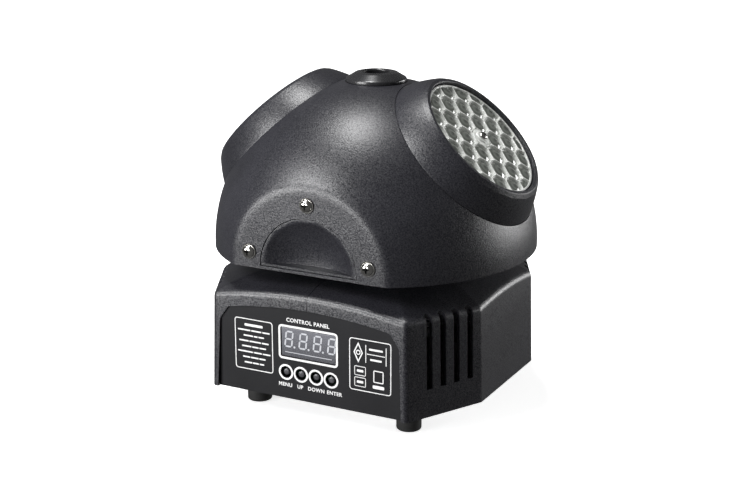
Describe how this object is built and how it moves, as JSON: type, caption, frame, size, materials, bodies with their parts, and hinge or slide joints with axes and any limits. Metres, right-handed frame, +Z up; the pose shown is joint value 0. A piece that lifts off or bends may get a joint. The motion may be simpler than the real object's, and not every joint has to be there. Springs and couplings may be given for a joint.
{
  "type": "moving head light",
  "caption": "Twin-lens moving head light: an octagonal base with a control panel, and a domed head that pans on it and carries two spinning honeycomb lens plates.",
  "frame": {"origin": "middle of the base on the surface that the feet stand on", "axes": "+Z up; the control panel faces -Y; the two lens barrels point along +X and -X, 45 degrees up"},
  "size_m": [0.175, 0.1528, 0.1724],
  "materials": {
    "housing_plastic": "spark-eroded satin",
    "cap_plastic": "satin with a glossy band",
    "panel_black": "matte",
    "foot_rubber": "matte",
    "sheet_steel": "zinc plated",
    "motor_steel": "plated",
    "bearing_steel": "ground",
    "nickel": "bright nickel",
    "aluminium": "satin",
    "circuit_board": "solder mask",
    "display_window": "smooth",
    "clear_lens": "clear, faceted",
    "belt_rubber": "matte",
    "socket_plastic": "smooth",
    "button_plastic": "smooth"
  },
  "bodies": {
    "base": {"base_cover_left": "housing_plastic", "base_cover_right": "housing_plastic", "front_panel": "panel_black", "rear_panel": "panel_black", "foot_front_left": "foot_rubber", "foot_front_right": "foot_rubber", "foot_rear_left": "foot_rubber", "foot_rear_right": "foot_rubber", "chassis_plate": "sheet_steel", "power_supply": "sheet_steel", "bearing_plate": "sheet_steel", "pan_motor": "motor_steel", "bearing_outer_race": "bearing_steel", "control_board": "circuit_board", "main_board": "circuit_board", "display_module": "display_window", "pan_belt": "belt_rubber", "power_inlet": "socket_plastic", "fuse_holder": "socket_plastic", "signal_in_socket": "socket_plastic", "signal_out_socket": "socket_plastic"},
    "head": {"dome": "housing_plastic", "barrel_left": "housing_plastic", "barrel_right": "housing_plastic", "front_insert": "housing_plastic", "rear_insert": "housing_plastic", "turntable": "housing_plastic", "top_cap": "cap_plastic", "head_floor": "sheet_steel", "inner_frame": "sheet_steel", "lens_motor_left": "motor_steel", "lens_motor_right": "motor_steel", "bearing_inner_race": "bearing_steel", "pan_shaft": "bearing_steel", "shaft_nut": "bearing_steel", "housing_screw_front_left": "nickel", "housing_screw_front_right": "nickel", "housing_screw_front_top": "nickel", "housing_screw_rear_left": "nickel", "housing_screw_rear_right": "nickel", "housing_screw_rear_top": "nickel", "heat_sink_left": "aluminium", "heat_sink_right": "aluminium", "pan_pulley": "aluminium", "driver_board": "circuit_board", "led_board_left": "circuit_board", "led_board_right": "circuit_board", "fan_frame": "socket_plastic"},
    "motor_pulley": {"motor_pulley": "aluminium"},
    "lens_left": {"lens_plate_left": "clear_lens", "lens_screw_left": "nickel", "lens_shaft_left": "bearing_steel"},
    "lens_right": {"lens_plate_right": "clear_lens", "lens_screw_right": "nickel", "lens_shaft_right": "bearing_steel"},
    "fan": {"fan_rotor": "socket_plastic"},
    "menu_button": {"button_menu": "button_plastic"},
    "up_button": {"button_up": "button_plastic"},
    "down_button": {"button_down": "button_plastic"},
    "enter_button": {"button_enter": "button_plastic"}
  },
  "joints": [
    {"name": "pan", "type": "hinge", "parent": "base", "child": "head", "pos_m": [0, 0, 0.083], "axis": [0, 0, 1], "range_deg": [-270, 270]},
    {"name": "pan_motor_turn", "type": "hinge", "parent": "base", "child": "motor_pulley", "pos_m": [-0.038, 0, 0.064], "axis": [0, 0, 1], "range_deg": [-1080, 1080]},
    {"name": "lens_left_spin", "type": "hinge", "parent": "head", "child": "lens_left", "pos_m": [0, 0, 0.083], "axis": [-0.7071, 0, 0.7071], "continuous": true},
    {"name": "lens_right_spin", "type": "hinge", "parent": "head", "child": "lens_right", "pos_m": [0, 0, 0.083], "axis": [0.7071, 0, 0.7071], "continuous": true},
    {"name": "fan_spin", "type": "hinge", "parent": "head", "child": "fan", "pos_m": [0, 0.0545, 0.1016], "axis": [0, 1, 0], "continuous": true},
    {"name": "menu_press", "type": "slide", "parent": "base", "child": "menu_button", "axis": [0, 1, 0], "range_m": [0, 0.0004], "stiffness_N_per_m": 1500, "springref_m": -0.0004},
    {"name": "up_press", "type": "slide", "parent": "base", "child": "up_button", "axis": [0, 1, 0], "range_m": [0, 0.0004], "stiffness_N_per_m": 1500, "springref_m": -0.0004},
    {"name": "down_press", "type": "slide", "parent": "base", "child": "down_button", "axis": [0, 1, 0], "range_m": [0, 0.0004], "stiffness_N_per_m": 1500, "springref_m": -0.0004},
    {"name": "enter_press", "type": "slide", "parent": "base", "child": "enter_button", "axis": [0, 1, 0], "range_m": [0, 0.0004], "stiffness_N_per_m": 1500, "springref_m": -0.0004}
  ],
  "couplings": [
    {"joint": "pan_motor_turn", "follows": "pan", "ratio": 4}
  ]
}
